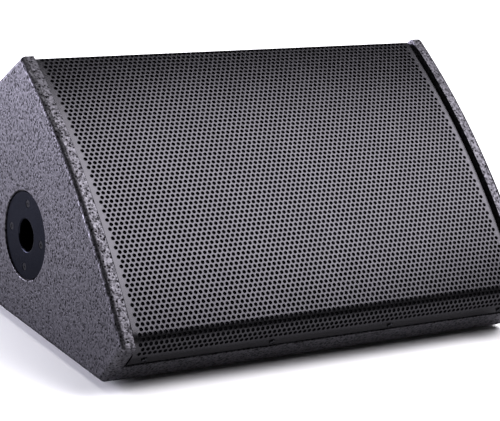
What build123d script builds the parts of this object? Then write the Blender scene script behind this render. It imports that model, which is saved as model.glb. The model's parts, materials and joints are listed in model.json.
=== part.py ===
from build123d import *
from math import cos, hypot, pi, radians, sin, tan
import os

# A passive two-way stage monitor wedge with a 12 inch woofer and a horn.
# Millimetres. While it is being drawn, Y runs rearwards from the lower front corner and
# Z upwards from the underside of the base. The last lines move the origin to the middle
# of the footprint, at the height of the rubber feet.

# ---- cabinet
WIDTH = 560.0
SIDE_PLY = 16.0
PLY = 15.0
BAFFLE_PLY = 18.0
NOSE = (-43.0, 51.3)
RIDGE = (227.3, 302.1)
FRONT_RADIUS = 909.0
BEVEL_ANGLE = 50.0
TOP_FALL = 36.7
REAR = 376.0
CORNER_ROUND = 3.0
EDGE_ROUND = 6.0

# ---- grille
SHEET = 1.5
GRILLE_WIDTH = 520.0
GRILLE_RECESS = 6.0
LIP_RECESS = 1.0
LIP_START = 31.0
RAIL_FACE = 28.5
BASE_FRONT = 20.0
FLANGE_LENGTH = 26.0
NOSE_BEND_RADIUS = 24.0
RIDGE_BEND_RADIUS = 4.0
LEAST_BEND_RADIUS = 0.5
FOAM = 6.0
FOAM_GAP = 0.1
FOAM_MARGIN = 2.0
FIT = 0.3
LIP_SCREW_X = (-241.5, -80.5, 80.5, 241.5)
LIP_SCREW_HEIGHT = 38.0
FLANGE_SCREW_DROP = 19.0

# ---- baffle and what it carries
BAFFLE_ORIGIN = (106.18, 160.04)
BAFFLE_SLOPE = 42.93
BAFFLE_HALF = 163.0
CLEAT = 20.0
CLEAT_MARGIN = 13.0
WOOFER_X = -98.0
WOOFER_FLANGE_R = 155.0
WOOFER_FLANGE = 5.0
WOOFER_CUT_R = 142.0
WOOFER_SCREW_R = 148.0
WOOFER_RIM_R = 138.0
BASKET_SECTION = (
    (136, -3),
    (141, 0),
    (141, -6),
    (79, -62),
    (79, -68),
    (61, -86),
    (40, -86),
    (40, -82),
    (59, -82),
    (75, -66),
    (75, -60),
)
BASKET_RIBS = 8
BASKET_WINDOWS = (((100, 0, -33), (90, 46, 34)), ((66, 0, -74), (26, 20, 10)))
GASKET_R = 143.0
GASKET = 2.5
ROLL_MIDDLE = 129.5
ROLL_R = 5.4
ROLL_SKIN = 0.8
SURROUND_LIP = 3.8
CONE_SECTION = ((38.8, -58), (121, -2), (124, -1.2), (124, 0), (120.4, -0.8), (38.8, -56))
CAP_R = 46.0
CAP_Z = -50.9
CAP_RISE = 13.0
CAP_SKIN = 0.8
COIL_R = 38.8
FORMER_SKIN = 0.4
FORMER_SPAN = (-86.0, -56.0)
WINDING_SKIN = 1.2
WINDING_SPAN = (-100.0, -84.0)
SPIDER_START = 39.1
SPIDER_END = 74.0
SPIDER_Z = -64.5
SPIDER_WAVE = 1.6
SPIDER_CRESTS = 5
MOTOR_R = 57.0
PLATE_Z = -86.0
PLATE = 8.0
MAGNET_R = 56.0
MAGNET_BORE_R = 44.0
MAGNET = 12.0
BACK_PLATE = 8.0
POLE_R = 36.6
VENT_R = 10.0
GAP_R = 39.8
TERMINAL_R = 97.0
TERMINAL_Z = -62.0
HORN_X = 162.0
HORN_FLANGE = 180.0
HORN_CUT = 166.0
HORN_DEPTH = 85.0
HORN_PLATE = 5.0
HORN_WALL = 3.0
HORN_SCREWS_HALF = (85.5, 80.0)
HORN_MOUTH = (156.0, 14.0)
HORN_MIDDLE = (80.0, 24.0)
HORN_THROAT = (36.0, 17.9)
DRIVER_R = 45.0
DRIVER_LENGTH = 32.0
DRIVER_BORE_R = 18.0
DRIVER_WELL_R = 25.5
DRIVER_LIP = 14.0
DRIVER_Z = -HORN_DEPTH - HORN_PLATE
DRIVER_BACK = DRIVER_Z - DRIVER_LENGTH
COVER_R = 43.0
COVER_WALL = 5.0
COVER_LENGTH = 18.0
DOME_R = 24.0
DOME_SPHERE_R = 32.0
DOME_SKIN = 0.4
PORT_X = (108.0, 192.0)
PORT_Y = 127.0
PORT_R = 25.0
PORT_WALL = 2.0
PORT_FLANGE = 6.0
PORT_LENGTH = 100.0

# ---- pole cup, in the left side panel
CUP_Y = 193.4
CUP_Z = 103.8
CUP_FLANGE_R = 50.0
CUP_BORE_R = 18.25
CUP_DEPTH = 77.0
CUP_WALL = 3.0
CUP_SCREW_R = 37.0
CUP_SCREW_LENGTH = 12.0
CUP_POCKET = 3.7
CUP_GAP = 1.0
POCKET_ROUND = 1.0
FLANGE_SHEET = 2.0

# ---- handle, in the right side panel
HANDLE_Y = 256.0
HANDLE_Z = 128.0
HANDLE_LENGTH = 150.0
HANDLE_HEIGHT = 94.0
HANDLE_DEPTH = 50.0
HANDLE_BORDER = 10.0
HANDLE_WALL = 2.0
BAR_R = 5.0
GRIP_R = 9.0
GRIP_LENGTH = 110.0
BAR_DEPTH = 14.0
HANDLE_SCREWS_HALF = (80.0, 33.0)

# ---- connector dish, in the rear panel
DISH_Z = 95.0
DISH_WIDTH = 160.0
DISH_HEIGHT = 84.0
DISH_DEPTH = 40.0
DISH_BORDER = 11.0
DISH_WALL = 2.0
DISH_FLOOR = DISH_WALL - DISH_DEPTH
DISH_SCREWS_HALF = (85.5, 34.0)
SOCKET_X = 45.0
SOCKET_R = 14.5
SOCKET_MOUTH_R = 12.5
SOCKET_POST_R = 6.0
SOCKET_LENGTH = 25.0
SOCKET_PLATE = 3.0
SOCKET_SCREW_POINTS = ((-11.5, 12.5, 0), (11.5, -12.5, 0))
SWITCH_PLATE = 1.5
SWITCH_WIDTH = 16.6
SWITCH_HEIGHT = 8.6
SWITCH_BODY = 10.0
SWITCH_SLOT = 4.0
SWITCH_TRAVEL = 5.0

# ---- feet
FOOT_R = 16.0
FOOT_HEIGHT = 8.0
FOOT_X = 225.0
FOOT_Y = (60.0, 335.0)

# ---- crossover, on the base panel
BOARD_X = 150.0
BOARD_Y = 290.0
BOARD_WIDTH = 150.0
BOARD_LENGTH = 90.0
BOARD_LIFT = 8.0
BOARD_SHEET = 1.6
BOARD_TOP = PLY + BOARD_LIFT + BOARD_SHEET
BOARD_HOLE_R = 1.4
BOARD_POSTS_HALF = (69.0, 39.0)

# ---- damping and leads
WADDING = (440.0, 110.0, 18.0)
WADDING_DROP = 45.0
LEAD = 5.0

# ---- screws: shank radius, length, head radius, head height
GRILLE_SCREW = (1.75, 14.0, 3.6, 2.2)
SOCKET_SCREW = (1.5, 8.0, 2.8, 1.6)
FOOT_SCREW = (2.0, 15.0, 4.0, 2.2)
WOOFER_SCREW = (2.5, 20.0, 4.5, 3.0)
HORN_SCREW = (2.0, 18.0, 4.0, 2.4)
SUNK_SHANK_R = 2.0
SUNK_HEAD_R = 4.2
SUNK_LENGTH = 15.0
SUNK_DROP = 0.4
SCREW_CLEAR = 0.15

FAR = 2000.0
HALF = WIDTH / 2
INNER = HALF - SIDE_PLY


# ---------------------------------------------------------------- geometry helpers
def arc_centre(start, end, radius):
    """Centre of the arc from start to end that bulges to the left of that line."""
    across, up = end[0] - start[0], end[1] - start[1]
    chord = hypot(across, up)
    drop = (radius**2 - (chord / 2) ** 2) ** 0.5
    return (
        (start[0] + end[0]) / 2 + drop * up / chord,
        (start[1] + end[1]) / 2 - drop * across / chord,
    )


FRONT_CENTRE = arc_centre(NOSE, RIDGE, FRONT_RADIUS)


def inside(point, direction, inset=0.0):
    """Everything on the left of a line through point, less a strip inset wide."""
    half_plane = Rectangle(FAR, FAR, align=(Align.CENTER, Align.MIN))
    return Pos(point[0], point[1]) * Rot(0, 0, direction) * Pos(0, inset) * half_plane


def front_of_cabinet(front, bevel, top):
    """Side view bounded by the curved front, the bevel and the rear slope, each inset."""
    face = Pos(*FRONT_CENTRE) * Circle(FRONT_RADIUS - front)
    face &= inside((0, 0), -BEVEL_ANGLE, bevel)
    return face & inside(RIDGE, 180 - TOP_FALL, top)


def side_view(front=0.0, bevel=0.0, top=0.0, base=0.0, rear=0.0):
    """Side view of the cabinet with each face moved inwards."""
    face = front_of_cabinet(front, bevel, top) & inside((0, 0), 0, base)
    return face & inside((REAR, 0), 90, rear)


def across(face, left, right):
    """A side view face, extruded across the cabinet from left to right."""
    return extrude(Plane.YZ.offset(left) * face, right - left)


def box_between(low, high):
    size = [b - a for a, b in zip(low, high)]
    middle = [(a + b) / 2 for a, b in zip(low, high)]
    return Pos(*middle) * Box(*size)


def turned(*outline):
    """A solid of revolution about Z, from (radius, height) points."""
    return revolve(Plane.XZ * make_face(Polyline(*outline, close=True)), Axis.Z)


def tube(outer, inner, low, high):
    return Pos(0, 0, low) * extrude(Circle(outer) - Circle(inner), high - low)


def rod(radius, low, high):
    return Pos(0, 0, low) * extrude(Circle(radius), high - low)


def ring_of(count, radius, start=0.0):
    """Places evenly spaced on a circle."""
    angles = [radians(start + 360 * i / count) for i in range(count)]
    return [Pos(radius * cos(angle), radius * sin(angle), 0) for angle in angles]


def four_corners(half_x, half_y):
    """Places at the corners of a rectangle."""
    return [Pos(x * half_x, y * half_y, 0) for x in (-1, 1) for y in (-1, 1)]


def group(shapes):
    """Separate solids that share a node."""
    return Compound([solid for shape in shapes for solid in shape.solids()])


def screw(shank_r, length, head_r, head_height):
    """Pan head screw with a cross recess, pointing down, its head standing on Z = 0."""
    head = rod(head_r, 0, head_height)
    head = fillet(head.faces().sort_by(Axis.Z)[-1].edges(), head_height * 0.6)
    slot = Box(head_r * 1.1, head_r * 0.25, head_height, align=(Align.CENTER, Align.CENTER, Align.MIN))
    head -= Pos(0, 0, head_height * 0.4) * (slot + Rot(0, 0, 90) * slot)
    return head + rod(shank_r, -length, 0)


def countersunk(shank_r, length, head_r):
    """Countersunk screw with a cross recess, its head flush with Z = 0."""
    body = turned((0, 0), (head_r, 0), (shank_r, shank_r - head_r), (shank_r, -length), (0, -length))
    slot = Box(head_r * 1.2, head_r * 0.25, head_r * 0.5, align=(Align.CENTER, Align.CENTER, Align.MAX))
    return body - slot - Rot(0, 0, 90) * slot


def hole(shank_r, length):
    """Clear hole for a screw, from just above Z = 0 downwards."""
    return rod(shank_r + SCREW_CLEAR, -length - 1, 1)


def wire(diameter, points):
    """A round lead of straight runs joined by tangent arcs as large as they allow."""
    knots = [Vector(*p) for p in points]
    radii = []
    for before, here, after in zip(knots, knots[1:], knots[2:]):
        turn = radians((here - before).get_angle(after - here))
        shorter = min((here - before).length, (after - here).length)
        radii.append(0.45 * shorter / tan(turn / 2))
    path = FilletPolyline(*knots, radius=radii)
    lead = sweep(Plane(origin=path @ 0, z_dir=path % 0) * Circle(diameter / 2), path=path)
    section = pi * diameter**2 / 4
    print("lead radii", [round(r, 1) for r in radii], "length", round(path.length, 1))
    print("lead volume ratio", round(lead.volume / (section * path.length), 4))
    return lead


# ---------------------------------------------------------------- local frames
# In each of them X runs across the face it stands on and Z points out of the cabinet.
BEVEL_FRAME = Plane(
    origin=(0, 0, 0),
    x_dir=(1, 0, 0),
    z_dir=(0, -sin(radians(BEVEL_ANGLE)), -cos(radians(BEVEL_ANGLE))),
).location
TOP_FRAME = Plane(
    origin=(0, RIDGE[0], RIDGE[1]),
    x_dir=(1, 0, 0),
    z_dir=(0, sin(radians(TOP_FALL)), cos(radians(TOP_FALL))),
).location
LEFT_FRAME = Plane(origin=(-HALF, CUP_Y, CUP_Z), x_dir=(0, -1, 0), z_dir=(-1, 0, 0)).location
CUP_FRAME = LEFT_FRAME * Pos(0, 0, -CUP_POCKET)
RIGHT_FRAME = Plane(origin=(HALF, HANDLE_Y, HANDLE_Z), x_dir=(0, 1, 0), z_dir=(1, 0, 0)).location
REAR_FRAME = Plane(origin=(0, REAR, DISH_Z), x_dir=(-1, 0, 0), z_dir=(0, 1, 0)).location
BASE_FRAME = Plane(origin=(0, 0, 0), x_dir=(1, 0, 0), z_dir=(0, 0, -1)).location

SLOPE_COS = cos(radians(BAFFLE_SLOPE))
SLOPE_SIN = sin(radians(BAFFLE_SLOPE))
BAFFLE_FRAME = Plane(
    origin=(0, BAFFLE_ORIGIN[0], BAFFLE_ORIGIN[1]),
    x_dir=(1, 0, 0),
    z_dir=(0, -SLOPE_SIN, SLOPE_COS),
).location
WOOFER_FRAME = BAFFLE_FRAME * Pos(WOOFER_X, 0, 0)
TERMINAL_FRAME = WOOFER_FRAME * Rot(0, 0, 180 / BASKET_RIBS)
HORN_FRAME = BAFFLE_FRAME * Pos(HORN_X, 0, 0)


# ---------------------------------------------------------------- fastener positions
LIP_SCREW_PLACES = [BEVEL_FRAME * Pos(x, LIP_SCREW_HEIGHT, -LIP_RECESS) for x in LIP_SCREW_X]
FLANGE_SCREW_PLACES = [TOP_FRAME * Pos(x, FLANGE_SCREW_DROP, -LIP_RECESS) for x in LIP_SCREW_X]
ON_FLANGE = Pos(0, 0, FLANGE_SHEET)
CUP_SCREW_PLACES = [CUP_FRAME * p * ON_FLANGE for p in ring_of(4, CUP_SCREW_R)]
HANDLE_SCREW_PLACES = [RIGHT_FRAME * p * ON_FLANGE for p in four_corners(*HANDLE_SCREWS_HALF)]
DISH_SCREW_PLACES = [REAR_FRAME * p * ON_FLANGE for p in four_corners(*DISH_SCREWS_HALF)]
WOOFER_SCREW_PLACES = [
    WOOFER_FRAME * place * Pos(0, 0, WOOFER_FLANGE)
    for place in ring_of(BASKET_RIBS, WOOFER_SCREW_R, 180 / BASKET_RIBS)
]
HORN_SCREW_PLACES = [
    HORN_FRAME * place * Pos(0, 0, HORN_PLATE) for place in four_corners(*HORN_SCREWS_HALF)
]
FOOT_PLACES = {
    "foot_front_left": BASE_FRAME * Pos(-FOOT_X, -FOOT_Y[0], 0),
    "foot_front_right": BASE_FRAME * Pos(FOOT_X, -FOOT_Y[0], 0),
    "foot_rear_left": BASE_FRAME * Pos(-FOOT_X, -FOOT_Y[1], 0),
    "foot_rear_right": BASE_FRAME * Pos(FOOT_X, -FOOT_Y[1], 0),
}
BOARD_PLACES = [Pos(BOARD_X, BOARD_Y, 0) * place for place in four_corners(*BOARD_POSTS_HALF)]


def drill(board, places, shank_r, length):
    """Clear screw holes in a board."""
    for place in places:
        board -= place * hole(shank_r, length)
    return board


def drill_sunk(board, places, length=SUNK_LENGTH):
    """Holes for the countersunk screws of a flange that lies on the board."""
    board = drill(board, places, SUNK_SHANK_R + 0.75, 3)
    return drill(board, places, SUNK_SHANK_R, length)


def sink(flange, places):
    """Countersunk holes through a flange, for screws whose places are on its face."""
    wide, narrow = SUNK_HEAD_R + 0.7, SUNK_SHANK_R + 0.1
    bottom = narrow - wide
    cutter = turned((0, 1), (wide, 1), (wide, 0), (narrow, bottom), (0, bottom))
    for place in places:
        flange -= place * cutter
    return flange


def flange_screws(places, length=SUNK_LENGTH):
    """Countersunk screws, a little below the face of the flange."""
    one = Pos(0, 0, -SUNK_DROP) * countersunk(SUNK_SHANK_R, length, SUNK_HEAD_R)
    return group(place * one for place in places)


# ---------------------------------------------------------------- cabinet
def side_panel(sign):
    face = fillet(side_view().vertices(), CORNER_ROUND)
    panel = across(face, min(sign * INNER, sign * HALF), max(sign * INNER, sign * HALF))
    outer = panel.faces().sort_by(Axis.X)[-1 if sign > 0 else 0]
    return fillet(outer.edges(), EDGE_ROUND)


def left_side_panel():
    """Side panel with a pocket that the pole cup's flange is let into."""
    pocket_r = CUP_FLANGE_R + CUP_GAP
    panel = side_panel(-1) - CUP_FRAME * rod(pocket_r, 0, CUP_POCKET + 1)
    circles = panel.edges().filter_by(GeomType.CIRCLE)
    rims = [edge for edge in circles if abs(edge.radius - pocket_r) < 0.01]
    panel = fillet(min(rims, key=lambda edge: edge.center().X), POCKET_ROUND)
    panel -= LEFT_FRAME * rod(CUP_BORE_R + CUP_WALL + 0.5, -SIDE_PLY - 1, 1)
    return drill_sunk(panel, CUP_SCREW_PLACES, CUP_SCREW_LENGTH)


def right_side_panel():
    opening = extrude(RectangleRounded(HANDLE_LENGTH + 1, HANDLE_HEIGHT + 1, 16.5), SIDE_PLY + 2)
    panel = side_panel(1) - RIGHT_FRAME * Pos(0, 0, -SIDE_PLY - 1) * opening
    return drill_sunk(panel, HANDLE_SCREW_PLACES)


def base_panel():
    board = box_between((-INNER, BASE_FRONT, 0), (INNER, REAR - PLY, PLY))
    board = drill(board, FOOT_PLACES.values(), FOOT_SCREW[0], FOOT_SCREW[1] - 2)
    return drill(board, [place * Pos(0, 0, PLY) for place in BOARD_PLACES], BOARD_HOLE_R, 7)


def rear_panel():
    face = side_view(top=PLY) & inside((REAR - PLY, 0), -90)
    board = across(face, -INNER, INNER)
    opening = extrude(RectangleRounded(DISH_WIDTH + 1, DISH_HEIGHT + 1, 10.5), PLY + 2)
    board -= REAR_FRAME * Pos(0, 0, -PLY - 1) * opening
    return drill_sunk(board, DISH_SCREW_PLACES)


def ridge_step():
    """Where the ridge rail ends and the top panel starts, as a point on the top face."""
    drop = radians(TOP_FALL)
    reach = FLANGE_LENGTH + 2
    return (RIDGE[0] + reach * cos(drop), RIDGE[1] - reach * sin(drop))


def top_panel():
    face = side_view() - side_view(top=PLY)
    return across(face & inside(ridge_step(), -90 - TOP_FALL), -INNER, INNER)


def baffle_edge(distance):
    """Side view of everything up-slope of a line across the baffle."""
    start = (
        BAFFLE_ORIGIN[0] + distance * SLOPE_COS,
        BAFFLE_ORIGIN[1] + distance * SLOPE_SIN,
    )
    return inside(start, BAFFLE_SLOPE - 90)


def ridge_rail():
    skin = front_of_cabinet(GRILLE_RECESS + SHEET + FIT, LIP_RECESS, LIP_RECESS + SHEET + FIT)
    skin = round_bends(skin, SHEET + FIT)
    rail = skin & baffle_edge(BAFFLE_HALF)
    rail &= inside(ridge_step(), 90 - TOP_FALL)
    rail &= inside(RIDGE, -TOP_FALL, -30)
    return drill(across(rail, -INNER, INNER), FLANGE_SCREW_PLACES, *GRILLE_SCREW[:2])


def front_rail():
    skin = front_of_cabinet(GRILLE_RECESS + SHEET + FIT, LIP_RECESS + SHEET + FIT, 0)
    skin = round_bends(skin, SHEET + FIT)
    step = (-RAIL_FACE * cos(radians(BEVEL_ANGLE)), RAIL_FACE * sin(radians(BEVEL_ANGLE)))
    foot = side_view() & inside(step, 180 + 90 - BEVEL_ANGLE)
    rail = (skin & inside((0, 0), 0)) + foot
    rail -= baffle_edge(-BAFFLE_HALF)
    rail -= Pos(BASE_FRONT, 0) * Rectangle(FAR, PLY, align=(Align.MIN, Align.MIN))
    return drill(across(rail, -INNER, INNER), LIP_SCREW_PLACES, *GRILLE_SCREW[:2])


def baffle_board():
    board = Box(2 * INNER, 2 * BAFFLE_HALF, BAFFLE_PLY, align=(Align.CENTER, Align.CENTER, Align.MAX))
    board -= Pos(WOOFER_X, 0, 0) * rod(WOOFER_CUT_R, -BAFFLE_PLY - 1, 1)
    opening = extrude(RectangleRounded(HORN_CUT, HORN_CUT, 14), BAFFLE_PLY + 2)
    board -= Pos(HORN_X, 0, -BAFFLE_PLY - 1) * opening
    for x in PORT_X:
        board -= Pos(x, PORT_Y, 0) * rod(PORT_R + PORT_WALL + FIT, -BAFFLE_PLY - 1, 1)
        board -= Pos(x, PORT_Y, 0) * rod(PORT_R + PORT_FLANGE + FIT, -PORT_WALL - 0.1, 1)
    board = BAFFLE_FRAME * board
    board = drill(board, WOOFER_SCREW_PLACES, WOOFER_SCREW[0], BAFFLE_PLY + WOOFER_FLANGE)
    return drill(board, HORN_SCREW_PLACES, HORN_SCREW[0], BAFFLE_PLY + HORN_PLATE)


def baffle_cleats():
    offset = INNER - CLEAT / 2
    length = 2 * (BAFFLE_HALF - CLEAT_MARGIN)
    strip = Box(CLEAT, length, CLEAT, align=(Align.CENTER, Align.CENTER, Align.MAX))
    return group(BAFFLE_FRAME * Pos(x, 0, -BAFFLE_PLY) * strip for x in (-offset, offset))


# ---------------------------------------------------------------- grille
def round_bends(face, depth):
    """Rounds the nose and the ridge of a face that lies depth behind the grille's surface."""
    for corner, bend in ((NOSE, NOSE_BEND_RADIUS), (RIDGE, RIDGE_BEND_RADIUS)):
        nearest = min(face.vertices(), key=lambda v: hypot(v.X - corner[0], v.Y - corner[1]))
        face = fillet(nearest, max(bend - depth, LEAST_BEND_RADIUS))
    return face


def skin_layer(depth, thickness):
    """Side view of a layer that follows the grille, depth behind its outer surface."""
    layers = []
    for extra in (depth, depth + thickness):
        face = front_of_cabinet(GRILLE_RECESS + extra, LIP_RECESS + extra, LIP_RECESS + extra)
        layers.append(round_bends(face, extra))
    return layers[0] - layers[1]


def grille():
    start = (-LIP_START * cos(radians(BEVEL_ANGLE)), LIP_START * sin(radians(BEVEL_ANGLE)))
    drop = radians(TOP_FALL)
    end = (RIDGE[0] + FLANGE_LENGTH * cos(drop), RIDGE[1] - FLANGE_LENGTH * sin(drop))
    face = skin_layer(0, SHEET) & inside(start, 90 - BEVEL_ANGLE)
    face &= inside(end, 90 - TOP_FALL)
    sheet = across(face, -GRILLE_WIDTH / 2, GRILLE_WIDTH / 2)
    return drill(sheet, LIP_SCREW_PLACES + FLANGE_SCREW_PLACES, GRILLE_SCREW[0] + 0.1, 4)


def grille_foam():
    face = skin_layer(SHEET + FOAM_GAP, FOAM)
    reach = BAFFLE_HALF - FOAM_MARGIN
    face = (face & baffle_edge(-reach)) - baffle_edge(reach)
    half = GRILLE_WIDTH / 2 - FOAM_MARGIN
    return across(face, -half, half)


def grille_screws(places):
    one = screw(*GRILLE_SCREW)
    return group(place * one for place in places)


# ---------------------------------------------------------------- pole cup
def pole_cup():
    outer_r = CUP_BORE_R + CUP_WALL
    cup = rod(CUP_FLANGE_R, 0, FLANGE_SHEET) + rod(outer_r, -CUP_DEPTH - CUP_WALL, 0)
    cup = chamfer(cup.edges().filter_by(GeomType.CIRCLE).sort_by(SortBy.RADIUS)[-1], 0.6)
    cup -= rod(CUP_BORE_R, -CUP_DEPTH, FLANGE_SHEET + 1)
    rims = [e for e in cup.edges().filter_by(GeomType.CIRCLE) if abs(e.radius - CUP_BORE_R) < 0.01]
    mouth = sorted(rims, key=lambda e: e.center().Z)[-1]
    cup = fillet(mouth, FLANGE_SHEET)
    return sink(CUP_FRAME * cup, CUP_SCREW_PLACES)


# ---------------------------------------------------------------- handle
def pan(length, height, depth, wall, border, corner):
    """A recessed tray with a flat border that lies on the panel around it."""
    tray = extrude(RectangleRounded(length + 2 * border, height + 2 * border, corner + border), FLANGE_SHEET)
    tray += Pos(0, 0, -depth) * extrude(RectangleRounded(length, height, corner), depth)
    hollow = extrude(
        RectangleRounded(length - 2 * wall, height - 2 * wall, corner - wall), depth + FLANGE_SHEET
    )
    return tray - Pos(0, 0, wall - depth) * hollow


def handle_dish():
    tray = pan(HANDLE_LENGTH, HANDLE_HEIGHT, HANDLE_DEPTH, HANDLE_WALL, HANDLE_BORDER, 16)
    tray -= Pos(0, 0, -BAR_DEPTH) * Rot(0, 90, 0) * rod(BAR_R + 0.1, -HANDLE_LENGTH, HANDLE_LENGTH)
    return sink(RIGHT_FRAME * tray, HANDLE_SCREW_PLACES)


def handle_bar():
    half = HANDLE_LENGTH / 2
    bar = rod(BAR_R, -half, half)
    return RIGHT_FRAME * Pos(0, 0, -BAR_DEPTH) * Rot(0, 90, 0) * bar


def handle_grip():
    sleeve = tube(GRIP_R, BAR_R + 0.05, -GRIP_LENGTH / 2, GRIP_LENGTH / 2)
    ends = [e for e in sleeve.edges().filter_by(GeomType.CIRCLE) if e.radius > GRIP_R - 0.01]
    return RIGHT_FRAME * Pos(0, 0, -BAR_DEPTH) * Rot(0, 90, 0) * fillet(ends, 2)


# ---------------------------------------------------------------- connectors
def connector_dish():
    tray = pan(DISH_WIDTH, DISH_HEIGHT, DISH_DEPTH, DISH_WALL, DISH_BORDER, 10)
    for x in (-SOCKET_X, SOCKET_X):
        tray -= Pos(x, 0, 0) * rod(SOCKET_R + 0.2, -DISH_DEPTH - 1, 0)
        for corner in SOCKET_SCREW_POINTS:
            tray -= Pos(x, 0, DISH_FLOOR) * Pos(*corner) * hole(SOCKET_SCREW[0], DISH_WALL)
    window = Box(SWITCH_WIDTH + 0.4, SWITCH_HEIGHT + 0.4, 2 * DISH_WALL + 2)
    return sink(REAR_FRAME * (tray - Pos(0, 0, -DISH_DEPTH) * window), DISH_SCREW_PLACES)


def socket(x):
    """Four-pole locking loudspeaker socket: an annular opening around a centre post."""
    bottom = 3 - SOCKET_LENGTH
    key = Box(3, 4, 20, align=(Align.MIN, Align.CENTER, Align.MIN))
    tab = Box(1, 5, 14, align=(Align.CENTER, Align.CENTER, Align.MIN))
    body = extrude(RectangleRounded(30, 34, 3), SOCKET_PLATE) + rod(SOCKET_R, -SOCKET_LENGTH, 0)
    body -= rod(SOCKET_MOUTH_R, bottom, SOCKET_PLATE + 1)
    body += rod(SOCKET_POST_R, bottom, -1)
    for angle in (45, 135, 225, 315):
        body += Rot(0, 0, angle) * Pos(11, 0, bottom) * key
    for side in (-4, 4):
        body += Pos(side, 0, -SOCKET_LENGTH - 7) * tab
    for corner in SOCKET_SCREW_POINTS:
        body -= Pos(*corner) * Pos(0, 0, SOCKET_PLATE) * hole(SOCKET_SCREW[0], SOCKET_PLATE)
    return REAR_FRAME * Pos(x, 0, DISH_FLOOR) * body


def socket_screws():
    one = screw(*SOCKET_SCREW)
    return group(
        REAR_FRAME * Pos(x, 0, DISH_FLOOR + SOCKET_PLATE) * Pos(*corner) * one
        for x in (-SOCKET_X, SOCKET_X)
        for corner in SOCKET_SCREW_POINTS
    )


def mode_switch_body():
    """Slide switch let into the dish floor, with a slot for its knob."""
    body = extrude(RectangleRounded(24, 14, 2), SWITCH_PLATE)
    body += extrude(Rectangle(SWITCH_WIDTH, SWITCH_HEIGHT), -SWITCH_BODY)
    body -= Pos(0, 0, -4) * extrude(Rectangle(SWITCH_TRAVEL + 6, SWITCH_SLOT), 6)
    return REAR_FRAME * Pos(0, 0, DISH_FLOOR) * body


def mode_switch_slider():
    knob = Pos(0, 0, -3.7) * extrude(Rectangle(5.6, SWITCH_SLOT - 0.3), 8.7)
    knob = fillet(knob.faces().sort_by(Axis.Z)[-1].edges(), 0.6)
    return REAR_FRAME * Pos(-SWITCH_TRAVEL / 2, 0, DISH_FLOOR) * knob


# ---------------------------------------------------------------- feet
def foot():
    shape = turned((0, 0), (FOOT_R, 0), (FOOT_R - 2, FOOT_HEIGHT), (0, FOOT_HEIGHT))
    edge = shape.edges().filter_by(GeomType.CIRCLE).sort_by(Axis.Z)[-1]
    shape = fillet(edge, 1.2)
    return shape - rod(5, FOOT_HEIGHT - 4, FOOT_HEIGHT + 1) - rod(2.15, -1, FOOT_HEIGHT)


def foot_screws():
    one = screw(*FOOT_SCREW)
    return group(place * Pos(0, 0, FOOT_HEIGHT - 4) * one for place in FOOT_PLACES.values())


# ---------------------------------------------------------------- woofer
def woofer_frame():
    """Cast basket: flange, ribbed cone, spider seat and motor seat in one piece."""
    rim = tube(WOOFER_FLANGE_R, WOOFER_RIM_R, 0, WOOFER_FLANGE) + tube(141, 132, -3, 0)
    basket = rim + turned(*BASKET_SECTION)
    for bay in range(BASKET_RIBS):
        for middle, size in BASKET_WINDOWS:
            basket -= Rot(0, 0, 360 / BASKET_RIBS * bay) * Pos(*middle) * Box(*size)
    return drill(WOOFER_FRAME * basket, WOOFER_SCREW_PLACES, WOOFER_SCREW[0], WOOFER_FLANGE)


def woofer_gasket():
    top = WOOFER_FLANGE + GASKET
    return WOOFER_FRAME * tube(GASKET_R, WOOFER_RIM_R + 0.5, WOOFER_FLANGE, top)


def woofer_screws():
    one = screw(*WOOFER_SCREW)
    return group(place * one for place in WOOFER_SCREW_PLACES)


def woofer_surround():
    """Half roll between the cone's edge and the frame's ledge."""
    roll = Pos(ROLL_MIDDLE, 0) * (Circle(ROLL_R) - Circle(ROLL_R - ROLL_SKIN))
    lip = Rectangle(SURROUND_LIP, ROLL_SKIN, align=(Align.MIN, Align.MIN))
    face = (roll & inside((0, 0), 0)) + Pos(ROLL_MIDDLE + ROLL_R - ROLL_SKIN, 0) * lip
    return WOOFER_FRAME * revolve(Plane.XZ * face, Axis.Z)


def woofer_cone():
    """Paper cone, glued to the coil former at its neck."""
    return WOOFER_FRAME * turned(*CONE_SECTION)


def woofer_dust_cap():
    """Part of a thin sphere that stands on the cone."""
    radius = (CAP_R**2 + CAP_RISE**2) / (2 * CAP_RISE)
    sphere = Sphere(radius) - Sphere(radius - CAP_SKIN)
    dome = Pos(0, 0, CAP_Z + CAP_RISE - radius) * sphere
    return WOOFER_FRAME * (dome & rod(CAP_R, CAP_Z, CAP_Z + CAP_RISE + 1))


def woofer_voice_coil():
    former = tube(COIL_R, COIL_R - FORMER_SKIN, *FORMER_SPAN)
    winding = tube(COIL_R, COIL_R - WINDING_SKIN, *WINDING_SPAN)
    return WOOFER_FRAME * (former + winding)


def woofer_spider():
    """Corrugated suspension disc between the coil former and the frame."""
    steps = 2 * SPIDER_CRESTS
    pitch = (SPIDER_END - SPIDER_START) / steps
    top = [
        (SPIDER_START + step * pitch, SPIDER_Z + (SPIDER_WAVE if step % 2 else 0))
        for step in range(steps + 1)
    ]
    below = [(radius, height - ROLL_SKIN) for radius, height in reversed(top)]
    return WOOFER_FRAME * turned(*top, *below)


def woofer_top_plate():
    return WOOFER_FRAME * tube(MOTOR_R, GAP_R, PLATE_Z - PLATE, PLATE_Z)


def woofer_magnet():
    top = PLATE_Z - PLATE
    return WOOFER_FRAME * tube(MAGNET_R, MAGNET_BORE_R, top - MAGNET, top)


def woofer_back_pot():
    """Back plate and the pole that stands on it, with a vent through both."""
    top = PLATE_Z - PLATE - MAGNET
    pot = rod(MOTOR_R, top - BACK_PLATE, top) + rod(POLE_R, top, PLATE_Z)
    return WOOFER_FRAME * (pot - rod(VENT_R, top - BACK_PLATE - 1, PLATE_Z + 1))


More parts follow.
